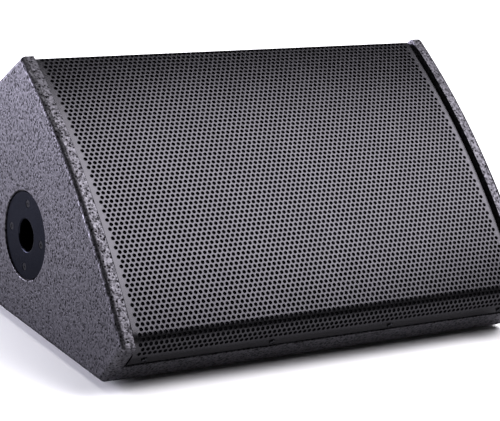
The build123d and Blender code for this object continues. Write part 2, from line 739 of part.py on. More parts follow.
def woofer_terminals():
    """Push terminals on a block that stands on one of the basket's ribs."""
    block = Pos(TERMINAL_R, 0, TERMINAL_Z) * Box(10, 16, 12)
    tabs = [Pos(TERMINAL_R + 7, y, TERMINAL_Z) * Box(6, 3, 2) for y in (-5, 5)]
    return TERMINAL_FRAME * (block + tabs[0] + tabs[1])


# ---------------------------------------------------------------- high frequency unit
def horn_flare(top, bottom, wall):
    """Solid flare between two heights, its size grown outwards by the wall."""
    heights = (top, (top + bottom) / 2, bottom)
    sections = [
        Pos(0, 0, z) * RectangleRounded(size + 2 * wall, size + 2 * wall, corner + wall)
        for z, (size, corner) in zip(heights, (HORN_MOUTH, HORN_MIDDLE, HORN_THROAT))
    ]
    return loft(sections)


def horn():
    flange = extrude(RectangleRounded(HORN_FLANGE, HORN_FLANGE, 10), HORN_PLATE)
    throat = rod(DRIVER_R, DRIVER_Z, -HORN_DEPTH)
    body = flange + throat + horn_flare(0, -HORN_DEPTH, HORN_WALL)
    body -= horn_flare(HORN_PLATE + 1, DRIVER_Z - 1, 0)
    return drill(HORN_FRAME * body, HORN_SCREW_PLACES, HORN_SCREW[0], HORN_PLATE)


def compression_driver():
    """Magnet assembly with the throat bore through it, and its terminal block."""
    body = rod(DRIVER_R, DRIVER_BACK, DRIVER_Z)
    body -= rod(DRIVER_BORE_R, DRIVER_Z - DRIVER_LIP, DRIVER_Z + 1)
    body -= rod(DRIVER_WELL_R, DRIVER_BACK - 1, DRIVER_Z - DRIVER_LIP)
    block = Pos(0, DRIVER_R + 2, (DRIVER_Z + DRIVER_BACK) / 2) * Box(18, 10, 12)
    return HORN_FRAME * (body + block)


def phase_plug():
    """Turned plug in the driver's well, held by a bridge across it."""
    front, back = DRIVER_Z - DRIVER_LIP, DRIVER_BACK + 3
    plug = turned((0, front + 8), (10, front), (18, back + 2), (22, back), (0, back))
    bridge = Pos(0, 0, back + 2) * Box(2 * DRIVER_WELL_R, 4, 4)
    return HORN_FRAME * (plug + (bridge & rod(DRIVER_WELL_R, DRIVER_BACK, front)))


def hf_diaphragm():
    """Titanium dome on its short coil former."""
    rim = DRIVER_BACK - 1
    rise = (DOME_SPHERE_R**2 - DOME_R**2) ** 0.5
    sphere = Sphere(DOME_SPHERE_R) - Sphere(DOME_SPHERE_R - DOME_SKIN)
    dome = (Pos(0, 0, rim + rise) * sphere) & rod(DOME_R, rim - 11, rim)
    former = tube(DOME_R + DOME_SKIN, DOME_R - DOME_SKIN, rim - 1.2, DRIVER_BACK + 2)
    return HORN_FRAME * (dome + former)


def driver_rear_cover():
    cup = rod(COVER_R, DRIVER_BACK - COVER_LENGTH, DRIVER_BACK)
    hollow = rod(COVER_R - COVER_WALL, DRIVER_BACK - COVER_LENGTH + 3, DRIVER_BACK + 1)
    return HORN_FRAME * (cup - hollow)


def horn_screws():
    one = screw(*HORN_SCREW)
    return group(place * one for place in HORN_SCREW_PLACES)


def port_tube(x):
    pipe = tube(PORT_R + PORT_WALL, PORT_R, -PORT_LENGTH, 0)
    flange = tube(PORT_R + PORT_FLANGE, PORT_R, -PORT_WALL, 0)
    return BAFFLE_FRAME * Pos(x, PORT_Y, 0) * (pipe + flange)


# ---------------------------------------------------------------- crossover
def crossover_board():
    sheet = extrude(RectangleRounded(BOARD_WIDTH, BOARD_LENGTH, 3), BOARD_SHEET)
    sheet = Pos(BOARD_X, BOARD_Y, PLY + BOARD_LIFT) * sheet
    places = [place * Pos(0, 0, BOARD_TOP) for place in BOARD_PLACES]
    return drill(sheet, places, BOARD_HOLE_R, BOARD_SHEET)


def board_standoffs():
    """Nylon posts that snap into the board and are nailed to the base."""
    pin_r, post_r, barb_r = BOARD_HOLE_R, 4, 2.2
    top = BOARD_LIFT + BOARD_SHEET
    post = rod(pin_r, -6, top) + rod(post_r, 0, BOARD_LIFT)
    post += turned((0, top), (pin_r, top), (barb_r, top + 0.4), (0.8, top + 3), (0, top + 3))
    return group(Pos(0, 0, PLY) * place * post for place in BOARD_PLACES)


def on_board(x, y, lift, shape):
    """Stands a component on the board, from the board's middle."""
    return Pos(BOARD_X + x, BOARD_Y + y, BOARD_TOP + lift) * shape


def crossover_coils():
    large = tube(19, 8, 0, 18)
    small = tube(14, 6, 0, 16)
    return group([on_board(-40, -16, 0, large), on_board(38, -14, 0, small)])


def crossover_capacitors():
    large = Rot(0, 90, 0) * rod(8, -18, 18)
    small = Rot(0, 90, 0) * rod(6, -13, 13)
    places = ((-34, 24, 8, large), (10, 30, 6, small), (10, 14, 6, small))
    return group(on_board(*place) for place in places)


def crossover_resistors():
    brick = Box(26, 9, 9, align=(Align.CENTER, Align.CENTER, Align.MIN))
    return group(on_board(46, y, 0, brick) for y in (10, 24))


# ---------------------------------------------------------------- damping and leads
def wadding():
    """Soft lining glued under the top panel."""
    sheet = Box(*WADDING, align=(Align.CENTER, Align.MIN, Align.MAX))
    return TOP_FRAME * Pos(0, WADDING_DROP, -PLY) * sheet


def input_wires():
    """From the input socket's tabs down to the crossover board."""
    tabs = REAR - DISH_DEPTH - 30
    return wire(
        LEAD,
        [
            (SOCKET_X, tabs, DISH_Z),
            (SOCKET_X, tabs - 22, DISH_Z - 2),
            (48, tabs - 38, DISH_Z - 18),
            (54, tabs - 40, 54),
            (64, tabs - 26, 36),
            (88, tabs - 4, BOARD_TOP + 3),
        ],
    )


def woofer_wires():
    """From the woofer's terminals, along the back of the cabinet's floor, to the board."""
    start = (TERMINAL_FRAME * Pos(TERMINAL_R + 10, 0, TERMINAL_Z)).position
    return wire(
        LEAD,
        [
            tuple(start),
            (26, 187, 150),
            (50, 204, 140),
            (64, 220, 110),
            (70, 232, 76),
            (76, 240, 44),
            (92, 250, BOARD_TOP + 3),
        ],
    )


def hf_wires():
    """From the compression driver's terminals down to the board."""
    height = (DRIVER_Z + DRIVER_BACK) / 2
    start = (HORN_FRAME * Pos(0, DRIVER_R + 7, height)).position
    clear = (HORN_FRAME * Pos(0, DRIVER_R + 29, height)).position
    return wire(
        LEAD,
        [
            tuple(start),
            tuple(clear),
            (160, 256, 132),
            (156, 270, 104),
            (152, 274, 70),
            (146, 270, 42),
            (134, 262, BOARD_TOP + 3),
        ],
    )


# ---------------------------------------------------------------- the whole assembly
NODES = {
    "left_side_panel": left_side_panel(),
    "right_side_panel": right_side_panel(),
    "base_panel": base_panel(),
    "rear_panel": rear_panel(),
    "top_panel": top_panel(),
    "ridge_rail": ridge_rail(),
    "front_rail": front_rail(),
    "baffle_board": baffle_board(),
    "baffle_cleats": baffle_cleats(),
    "grille": grille(),
    "grille_foam": grille_foam(),
    "grille_lip_screws": grille_screws(LIP_SCREW_PLACES),
    "grille_top_screws": grille_screws(FLANGE_SCREW_PLACES),
    "pole_cup": pole_cup(),
    "pole_cup_screws": flange_screws(CUP_SCREW_PLACES, CUP_SCREW_LENGTH),
    "handle_dish": handle_dish(),
    "handle_bar": handle_bar(),
    "handle_grip": handle_grip(),
    "handle_screws": flange_screws(HANDLE_SCREW_PLACES),
    "connector_dish": connector_dish(),
    "connector_dish_screws": flange_screws(DISH_SCREW_PLACES),
    "input_socket": socket(-SOCKET_X),
    "link_socket": socket(SOCKET_X),
    "socket_screws": socket_screws(),
    "mode_switch_body": mode_switch_body(),
    "mode_switch_slider": mode_switch_slider(),
    **{name: place * foot() for name, place in FOOT_PLACES.items()},
    "foot_screws": foot_screws(),
    "woofer_frame": woofer_frame(),
    "woofer_gasket": woofer_gasket(),
    "woofer_screws": woofer_screws(),
    "woofer_surround": woofer_surround(),
    "woofer_cone": woofer_cone(),
    "woofer_dust_cap": woofer_dust_cap(),
    "woofer_voice_coil": woofer_voice_coil(),
    "woofer_spider": woofer_spider(),
    "woofer_top_plate": woofer_top_plate(),
    "woofer_magnet": woofer_magnet(),
    "woofer_back_pot": woofer_back_pot(),
    "woofer_terminals": woofer_terminals(),
    "horn": horn(),
    "horn_screws": horn_screws(),
    "compression_driver": compression_driver(),
    "driver_rear_cover": driver_rear_cover(),
    "phase_plug": phase_plug(),
    "hf_diaphragm": hf_diaphragm(),
    "port_tube_inner": port_tube(PORT_X[0]),
    "port_tube_outer": port_tube(PORT_X[1]),
    "crossover_board": crossover_board(),
    "board_standoffs": board_standoffs(),
    "crossover_coils": crossover_coils(),
    "crossover_capacitors": crossover_capacitors(),
    "crossover_resistors": crossover_resistors(),
    "wadding": wadding(),
    "input_wires": input_wires(),
    "woofer_wires": woofer_wires(),
    "hf_wires": hf_wires(),
}

# ---------------------------------------------------------------- origin and export
front_edge = NODES["right_side_panel"].bounding_box().min.Y
rear_edge = REAR + FLANGE_SHEET
TO_ORIGIN = Pos(0, -(front_edge + rear_edge) / 2, FOOT_HEIGHT)

os.makedirs("parts", exist_ok=True)
for name, shape in NODES.items():
    export_step(TO_ORIGIN * shape, f"parts/{name}.step")
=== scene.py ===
import json
from math import cos, hypot, pi, radians, sin

import bpy
import numpy as np
from mathutils import Matrix, Quaternion, Vector, noise


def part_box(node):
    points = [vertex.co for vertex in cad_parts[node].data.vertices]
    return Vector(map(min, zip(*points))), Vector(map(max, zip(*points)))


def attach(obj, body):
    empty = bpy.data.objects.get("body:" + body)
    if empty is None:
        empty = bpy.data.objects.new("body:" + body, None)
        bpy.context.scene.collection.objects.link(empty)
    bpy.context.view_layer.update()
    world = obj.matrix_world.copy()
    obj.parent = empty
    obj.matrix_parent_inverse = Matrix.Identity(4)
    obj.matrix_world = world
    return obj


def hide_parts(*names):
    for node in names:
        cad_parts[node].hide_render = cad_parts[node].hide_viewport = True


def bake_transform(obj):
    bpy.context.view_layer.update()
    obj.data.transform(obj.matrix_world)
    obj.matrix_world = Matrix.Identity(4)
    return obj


# The looks of a passive two-way stage monitor wedge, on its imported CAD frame.
# Blender works in metres; sizes named here are in millimetres until MM turns them,
# except those of the camera, floor and lights.
MM = 0.001

# ---- camera, floor and light: places in metres, roll in degrees, lens in millimetres
CAMERA_AT = (-1.2107, -1.8118, 0.7649)
CAMERA_AIM = (0.0711, 0.1012, 0.0886)
CAMERA_ROLL = 5.13
CAMERA_LENS = 137.68
CAMERA_SENSOR = 36.0
FLOOR_HALF = 15.0
WORLD_STRENGTH = 0.05

# name, place, aim, width, height, power, colour; places and sizes in metres
LIGHTS = (
    ("key", (1.4, -0.85, 2.45), (0.0, 0.0, 0.15), 2.0, 2.0, 170, (0.97, 0.95, 1.0)),
    ("back", (0.0, 2.3, 2.8), (0.1, 0.4, 0.0), 2.4, 2.0, 115, (1.0, 1.0, 1.0)),
    ("side", (-1.5, 2.0, 0.5), (-0.28, 0.0, 0.27), 1.3, 0.5, 150, (0.87, 0.85, 1.0)),
)

# ---- angle in degrees above which an edge is drawn sharp
CREASE = 35.0
SOFT_CREASE = 60.0

# ---- side view of the cabinet, from its lower front corner: y rearwards, z up
NOSE = (-43.0, 51.3)
RIDGE = (227.3, 302.1)
FRONT_RADIUS = 909.0
BEVEL_ANGLE = 50.0
TOP_FALL = 36.7
REAR = 376.0

# ---- perforated grille
SHEET = 1.5
GRILLE_WIDTH = 520.0
GRILLE_RECESS = 6.0
LIP_RECESS = 1.0
LIP_START = 31.0
FLANGE_LENGTH = 26.0
NOSE_BEND_RADIUS = 24.0
RIDGE_BEND_RADIUS = 4.0
HOLE_R = 2.38
HOLE_PITCH = 6.35
HOLE_SIDES = 12
ROW_SPACING = 5.48
ROWS = 70
HOLES_PER_ROW = 80
FIRST_ROW = 19.0
ROW_SHIFT = 0.25
FLAT_LEVELS = 12

# ---- foam behind it
FOAM = 6.0
FOAM_FLAT = 0.15
FOAM_GAP = 0.05
FOAM_MARGIN = 2.0
FOAM_START = 12.0
FOAM_TAPER = 5.0
FOAM_CELL = 3.0
FOAM_LUMP = 0.35
FOAM_LUMP_SIZE = 9.0

# ---- baffle and the woofer's flexible parts: rings of sectors, radius and height
BAFFLE_ORIGIN = (106.18, 160.04)
BAFFLE_SLOPE = 42.93
BAFFLE_HALF = 163.0
WOOFER_X = -98.0
SECTORS = 24
SECTOR_STEPS = 4
SKIN = 0.7
ROLL_MIDDLE = 129.5
ROLL_R = 5.35
ROLL_END = 138.0
ROLL_STEPS = 14
SPIDER_START = 39.1
SPIDER_END = 74.0
SPIDER_HEIGHT = -64.9
SPIDER_WAVE = 1.6
SPIDER_CRESTS = 5
CREST_STEPS = 8

# ---- handle grip
GRIP_AT = (266.0, 256.0, 128.0)
GRIP_R = 9.0
GRIP_BORE_R = 5.05
GRIP_LENGTH = 110.0
GRIP_END = 6.0
GRIP_RIB = 5.2
GRIP_GROOVE = 0.9
GRIP_ROUND = 2.0
GRIP_BEVEL = 0.6
GRIP_SIDES = 40
RIB_STEPS = 8

# ---- wadding under the top panel
WADDING_WIDTH = 440.0
WADDING_START = 45.0
WADDING_END = 155.0
WADDING_TOP = 15.0
WADDING_DEEP = 18.0
WADDING_CELL = 5.0
WADDING_GAP = 0.2
WADDING_SPARE = 1.0
WADDING_EDGE = 14.0
WADDING_THIN = 0.45
WADDING_LUMP = 0.12
WADDING_LUMP_SIZE = 17.0

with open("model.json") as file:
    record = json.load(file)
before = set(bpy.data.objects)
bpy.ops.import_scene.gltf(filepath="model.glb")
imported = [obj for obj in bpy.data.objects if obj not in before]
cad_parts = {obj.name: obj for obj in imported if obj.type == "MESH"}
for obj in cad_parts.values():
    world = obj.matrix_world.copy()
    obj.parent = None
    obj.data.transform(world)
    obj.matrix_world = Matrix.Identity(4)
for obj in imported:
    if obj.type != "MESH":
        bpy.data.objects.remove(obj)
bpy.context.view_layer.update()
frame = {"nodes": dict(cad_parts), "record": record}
scene = bpy.context.scene

TO_FRAME = Vector((0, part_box("rear_panel")[1].y - REAR * MM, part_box("base_panel")[0].z))


# ---------------------------------------------------------------- materials
class Finish:
    """A node material being built: one principled shader and what feeds it."""

    def __init__(self, name, roughness, metallic=0.0, coat=0.0, sheen=0.0, specular=0.5, edge=1.0):
        self.material = bpy.data.materials.new(name)
        self.material.use_nodes = True
        self.tree = self.material.node_tree
        self.shader = self.tree.nodes["Principled BSDF"]
        self.shader.inputs["Roughness"].default_value = roughness
        self.shader.inputs["Metallic"].default_value = metallic
        self.shader.inputs["Coat Weight"].default_value = coat
        self.shader.inputs["Sheen Weight"].default_value = sheen
        self.shader.inputs["Specular IOR Level"].default_value = specular
        self.shader.inputs["Specular Tint"].default_value = (edge, edge, edge, 1.0)
        self.place = self.node("ShaderNodeTexCoord").outputs["Object"]
        self.normal = None

    def node(self, kind, **inputs):
        """Adds a node and fills its sockets with numbers or links."""
        made = self.tree.nodes.new(kind)
        for key, value in inputs.items():
            socket = made.inputs[key.replace("_", " ")]
            if isinstance(value, bpy.types.NodeSocket):
                self.tree.links.new(value, socket)
            else:
                socket.default_value = value
        return made

    def noise(self, size, detail=3.0, rough=0.6, place=None):
        """Noise whose lumps are about size millimetres across."""
        made = self.node(
            "ShaderNodeTexNoise",
            Vector=place or self.place,
            Scale=1 / (size * MM),
            Detail=detail,
            Roughness=rough,
        )
        return made.outputs["Fac"]

    def cells(self, size, feature="F1"):
        """Cells about size millimetres across: distance from their middles or edges."""
        made = self.node("ShaderNodeTexVoronoi", Vector=self.place, Scale=1 / (size * MM))
        made.feature = feature
        return made.outputs["Distance"]

    def stretched(self, x, y, z):
        """Object coordinates scaled per axis, for grain that runs one way."""
        made = self.node("ShaderNodeMapping", Vector=self.place, Scale=(x, y, z))
        return made.outputs["Vector"]

    def ramp(self, value, low, high, to_low=0.0, to_high=1.0):
        """Maps value from low..high onto to_low..to_high, clamped."""
        made = self.node("ShaderNodeMapRange", Value=value)
        made.inputs["From Min"].default_value = low
        made.inputs["From Max"].default_value = high
        made.inputs["To Min"].default_value = to_low
        made.inputs["To Max"].default_value = to_high
        return made.outputs["Result"]

    def combine(self, operation, first, second):
        made = self.node("ShaderNodeMath")
        made.operation = operation
        for socket, value in zip(made.inputs, (first, second)):
            if isinstance(value, bpy.types.NodeSocket):
                self.tree.links.new(value, socket)
            else:
                socket.default_value = value
        return made.outputs["Value"]

    def blend(self, factor, first, second):
        """Colour that goes from first to second with factor."""
        made = self.tree.nodes.new("ShaderNodeMix")
        made.data_type = "RGBA"
        self.tree.links.new(factor, made.inputs["Factor"])
        for key, value in (("A", first), ("B", second)):
            socket = [s for s in made.inputs if s.name == key and s.type == "RGBA"][0]
            if isinstance(value, bpy.types.NodeSocket):
                self.tree.links.new(value, socket)
            else:
                socket.default_value = (*value, 1.0)
        return [s for s in made.outputs if s.type == "RGBA"][0]

    def colour(self, value):
        self.tree.links.new(value, self.shader.inputs["Base Color"])

    def roughness(self, value):
        self.tree.links.new(value, self.shader.inputs["Roughness"])

    def relief(self, height, depth, strength=1.0):
        """Adds relief of depth millimetres on top of any that is there already."""
        made = self.node("ShaderNodeBump", Height=height, Distance=depth * MM, Strength=strength)
        if self.normal is not None:
            self.tree.links.new(self.normal, made.inputs["Normal"])
        self.normal = made.outputs["Normal"]
        self.tree.links.new(self.normal, self.shader.inputs["Normal"])


def shade(colour, factor):
    return tuple(channel * factor for channel in colour)


def textured_paint(name, colour):
    """Rolled polyurethane paint: painted shade in its pits and between its rounded crumbs, painted highlights
    on the crumbs.
    """
    finish = Finish(name, 0.5, metallic=1.0, edge=0.5)
    crumbs = finish.noise(3.6, detail=2.0)
    grit = finish.noise(2.5, detail=1.0)
    drift = finish.noise(90.0, detail=2.0)
    pit_depth_and_shade = finish.ramp(finish.cells(4.0), 0.2, 0.42)
    # Painted shade: the pits and the hollows between crumbs darken the colour; the same mask also sets
    # roughness and relief.
    body = finish.combine("MULTIPLY", pit_depth_and_shade, finish.ramp(crumbs, 0.35, 0.55, 0.3, 1.0))
    base = finish.blend(body, shade(colour, 0.03), colour)
    patches = finish.ramp(drift, 0.3, 0.7, 0.5, 1.0)
    # Painted highlights: pale spots on the crumbs, varied in random patches.
    painted_glints = finish.combine("MULTIPLY", finish.ramp(grit, 0.5, 0.68), patches)
    finish.colour(finish.blend(painted_glints, base, shade(colour, 1.8)))
    finish.roughness(finish.ramp(body, 0.0, 1.0, 0.7, 0.43))
    finish.relief(body, 0.15)
    finish.relief(grit, 0.08)
    return finish.material


def grained(name, colour, roughness, size=1.0, depth=0.05, contrast=0.25, **surface):
    """Fine even grain: powder coats, moulded plastics, rubber and castings."""
    finish = Finish(name, roughness, **surface)
    grain = finish.noise(size)
    drift = finish.noise(size * 40, detail=2.0)
    patches = finish.ramp(drift, 0.3, 0.7, 0.6, 1.0)
    spots = finish.combine("MULTIPLY", finish.ramp(grain, 0.3, 0.7), patches)
    finish.colour(finish.blend(spots, shade(colour, 1 - contrast), shade(colour, 1 + contrast)))
    finish.roughness(finish.ramp(grain, 0.3, 0.7, roughness - 0.06, roughness + 0.08))
    finish.relief(grain, depth)
    return finish.material


def brushed(name, colour, roughness, along, coat=0.0):
    """Metal with fine scratches that run along one axis."""
    finish = Finish(name, roughness, metallic=1.0, coat=coat)
    squeeze = [0.03 if axis == along else 1.0 for axis in "xyz"]
    lines = finish.noise(0.5, detail=4.0, place=finish.stretched(*squeeze))
    stains = finish.noise(25.0, detail=3.0)
    finish.colour(finish.blend(stains, shade(colour, 0.8), shade(colour, 1.1)))
    finish.roughness(finish.ramp(lines, 0.25, 0.75, roughness - 0.1, roughness + 0.15))
    finish.relief(lines, 0.02)
    return finish.material


def open_cell(name, colour):
    """Reticulated foam: a net of thin struts, with painted shade in the open cells between them."""
    finish = Finish(name, 0.95, specular=0.05)
    struts = finish.cells(1.4, "DISTANCE_TO_EDGE")
    dust = finish.noise(12.0)
    net_and_shade = finish.ramp(struts, 0.02, 0.25, 1.0, 0.0)
    # Painted shade: the middles of the cells are darkened; the same mask sets the struts' relief.
    finish.colour(finish.blend(net_and_shade, shade(colour, 0.4), finish.blend(dust, colour, shade(colour, 1.8))))
    finish.relief(net_and_shade, 0.6)
    return finish.material


def woven(name, colour, thread, sheen=0.2, stiff=0.8):
    """Cloth of crossing threads, thread millimetres apart, with painted shade between the threads."""
    finish = Finish(name, stiff, sheen=sheen)
    height = None
    for axis in "XYZ":
        wave = finish.node("ShaderNodeTexWave", Vector=finish.place, Scale=0.5 / (thread * MM) / pi)
        wave.bands_direction = axis
        wave.inputs["Distortion"].default_value = 0.6
        wave.inputs["Detail"].default_value = 2.0
        strand = wave.outputs["Fac"]
        height = strand if height is None else finish.combine("MAXIMUM", height, strand)
    fuzz = finish.noise(thread * 3)
    # Painted shade between the threads, varied by random fuzz; the same height sets the relief.
    tone = finish.combine("MULTIPLY", height, finish.ramp(fuzz, 0.2, 0.8, 0.7, 1.0))
    finish.colour(finish.blend(tone, shade(colour, 0.45), shade(colour, 1.2)))
    finish.relief(height, thread * 0.3)
    return finish.material


def fibrous(name, colour, fibre, depth, contrast=0.35):
    """Pressed or loose fibres that lie every way."""
    finish = Finish(name, 0.9, sheen=0.15)
    mat = None
    for squeeze in ((1.0, 0.12, 0.5), (0.15, 1.0, 0.4), (0.5, 0.3, 1.0)):
        layer = finish.noise(fibre, detail=4.0, rough=0.7, place=finish.stretched(*squeeze))
        mat = layer if mat is None else finish.combine("MAXIMUM", mat, layer)
    tone = finish.ramp(mat, 0.4, 0.75)
    finish.colour(finish.blend(tone, shade(colour, 1 - contrast), shade(colour, 1 + contrast)))
    finish.relief(mat, depth)
    return finish.material


def plywood(name, colour):
    """Black-stained birch plywood with its grain across the cabinet."""
    finish = Finish(name, 0.75)
    grain = finish.noise(3.0, detail=5.0, rough=0.65, place=finish.stretched(0.04, 1.0, 1.0))
    figure = finish.noise(45.0, detail=3.0, place=finish.stretched(0.2, 1.0, 1.0))
    tone = finish.combine("MULTIPLY", grain, finish.ramp(figure, 0.3, 0.7, 0.6, 1.1))
    finish.colour(finish.blend(finish.ramp(tone, 0.2, 0.6), shade(colour, 0.5), shade(colour, 1.6)))
    finish.relief(grain, 0.12)
    return finish.material


def wound(name, colour, turn):
    """Layers of enamelled wire, one turn thick, with painted shade in the grooves between turns."""
    finish = Finish(name, 0.3, metallic=1.0, coat=0.4)
    wave = finish.node("ShaderNodeTexWave", Vector=finish.place, Scale=0.5 / (turn * MM) / pi)
    wave.bands_direction = "Z"
    wave.inputs["Distortion"].default_value = 0.4
    tarnish = finish.noise(6.0)
    # Painted shade darkens the grooves between turns; the tarnish over it is the wire's own.
    strands_and_shade = finish.blend(wave.outputs["Fac"], shade(colour, 0.25), colour)
    finish.colour(finish.blend(finish.ramp(tarnish, 0.3, 0.8), strands_and_shade, shade(colour, 0.7)))
    finish.relief(wave.outputs["Fac"], turn * 0.5)
    return finish.material


def circuit(name, colour):
    """Lacquered laminate with its glass weave and wide copper lands under the mask."""
    finish = Finish(name, 0.35, coat=0.5)
    lands = finish.cells(14.0, "DISTANCE_TO_EDGE")
    weave = finish.noise(0.8)
    mask = finish.ramp(lands, 0.04, 0.06)
    finish.colour(finish.blend(mask, shade(colour, 0.55), shade(colour, 1.5)))
    finish.relief(mask, 0.05)
    finish.relief(weave, 0.02)
    return finish.material


MATERIALS = {
    "cabinet_paint": textured_paint("cabinet_paint", (0.06, 0.058, 0.065)),
    "raw_plywood": plywood("raw_plywood", (0.05, 0.045, 0.04)),
    "grille_steel": grained(
        "grille_steel", (0.032, 0.0311, 0.034), 0.29, size=0.8, depth=0.02, metallic=1.0, edge=0.5
    ),
    "acoustic_foam": open_cell("acoustic_foam", (0.004, 0.004, 0.0052)),
    "black_screws": grained(
        "black_screws", (0.024, 0.024, 0.027), 0.3, size=0.6, depth=0.02, metallic=1.0, edge=0.5
    ),
    "cup_metal": grained(
        "cup_metal", (0.009, 0.0096, 0.0135), 0.24, size=0.7, depth=0.01, metallic=1.0, edge=0.5
    ),
    "dish_steel": grained(
        "dish_steel", (0.012, 0.012, 0.013), 0.45, size=0.9, depth=0.05, specular=0.3
    ),
    "bar_steel": brushed("bar_steel", (0.5, 0.5, 0.51), 0.3, "y"),
    "grip_rubber": grained("grip_rubber", (0.02, 0.02, 0.02), 0.75, size=0.8, depth=0.08),
    "socket_plastic": grained("socket_plastic", (0.008, 0.008, 0.01), 0.4, size=0.7, depth=0.03),
    "switch_plastic": grained("switch_plastic", (0.03, 0.03, 0.03), 0.5, size=0.7, depth=0.03),
    "knob_plastic": grained("knob_plastic", (0.55, 0.55, 0.53), 0.4, size=0.7, depth=0.02, contrast=0.08),
    "foot_rubber": grained("foot_rubber", (0.018, 0.018, 0.018), 0.8, size=0.9, depth=0.08),
    "basket_alloy": grained("basket_alloy", (0.03, 0.03, 0.032), 0.5, size=1.4, depth=0.12),
    "gasket_rubber": grained("gasket_rubber", (0.02, 0.02, 0.02), 0.85, size=0.8, depth=0.08),
    "surround_cloth": woven("surround_cloth", (0.03, 0.03, 0.032), 0.9),
    "cone_paper": fibrous("cone_paper", (0.035, 0.034, 0.033), 1.4, 0.15),
    "cap_paper": fibrous("cap_paper", (0.03, 0.03, 0.03), 1.0, 0.08),
    "coil_copper": wound("coil_copper", (0.62, 0.3, 0.14), 0.8),
    "spider_cloth": woven("spider_cloth", (0.5, 0.33, 0.13), 0.8),
    "motor_steel": grained("motor_steel", (0.03, 0.03, 0.03), 0.35, size=0.8, depth=0.02, metallic=0.7),
    "magnet_nickel": brushed("magnet_nickel", (0.62, 0.6, 0.55), 0.25, "x"),
    "terminal_plastic": grained("terminal_plastic", (0.3, 0.02, 0.02), 0.45, size=0.7, depth=0.03),
    "horn_plastic": grained("horn_plastic", (0.025, 0.025, 0.026), 0.5, size=1.0, depth=0.06),
    "driver_paint": grained("driver_paint", (0.03, 0.03, 0.032), 0.4, size=1.2, depth=0.05),
    "driver_cover_plastic": grained("driver_cover_plastic", (0.02, 0.02, 0.02), 0.5, size=0.8, depth=0.04),
    "dome_titanium": brushed("dome_titanium", (0.5, 0.48, 0.46), 0.3, "x"),
    "port_plastic": grained("port_plastic", (0.02, 0.02, 0.02), 0.5, size=0.8, depth=0.04),
    "board_laminate": circuit("board_laminate", (0.03, 0.16, 0.07)),
    "post_nylon": grained("post_nylon", (0.7, 0.69, 0.64), 0.5, size=0.9, depth=0.03, contrast=0.08),
    "capacitor_film": grained("capacitor_film", (0.55, 0.4, 0.05), 0.3, size=2.0, depth=0.05, coat=0.3),
    "resistor_ceramic": grained(
        "resistor_ceramic", (0.72, 0.7, 0.64), 0.8, size=0.8, depth=0.06, contrast=0.1
    ),
    "wadding_fibre": fibrous("wadding_fibre", (0.7, 0.7, 0.68), 3.0, 1.2, contrast=0.2),
    "lead_sheath": grained("lead_sheath", (0.08, 0.08, 0.085), 0.5, size=0.8, depth=0.03),
}

for row in frame["record"]["subparts"]:
    mesh = frame["nodes"][row["node"]].data
    mesh.materials.clear()
    mesh.materials.append(MATERIALS[row["material_slot"]])


# ---------------------------------------------------------------- mesh helpers
def new_mesh(name, points, faces, slot, crease=CREASE):
    """A mesh in the frame that takes a slot's finish."""
    mesh = bpy.data.meshes.new(name)
    mesh.from_pydata([tuple(point) for point in points], [], faces)
    mesh.update()
    mesh.shade_smooth()
    mesh.set_sharp_from_angle(angle=radians(crease))
    mesh.materials.append(MATERIALS[slot])
    made = bpy.data.objects.new(name, mesh)
    scene.collection.objects.link(made)
    return made


def piece(name, points, faces, slot, body="cabinet", crease=CREASE):
    """A mesh that rides on a body."""
    made = new_mesh(name, points, faces, slot, crease)
    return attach(made, body)


def arc_centre(start, end, radius):
    """Centre of the arc from start to end that bulges to the left of that line."""
    across, up = end[0] - start[0], end[1] - start[1]
    chord = hypot(across, up)
    drop = (radius**2 - (chord / 2) ** 2) ** 0.5
    return (
        (start[0] + end[0]) / 2 + drop * up / chord,
        (start[1] + end[1]) / 2 - drop * across / chord,
    )


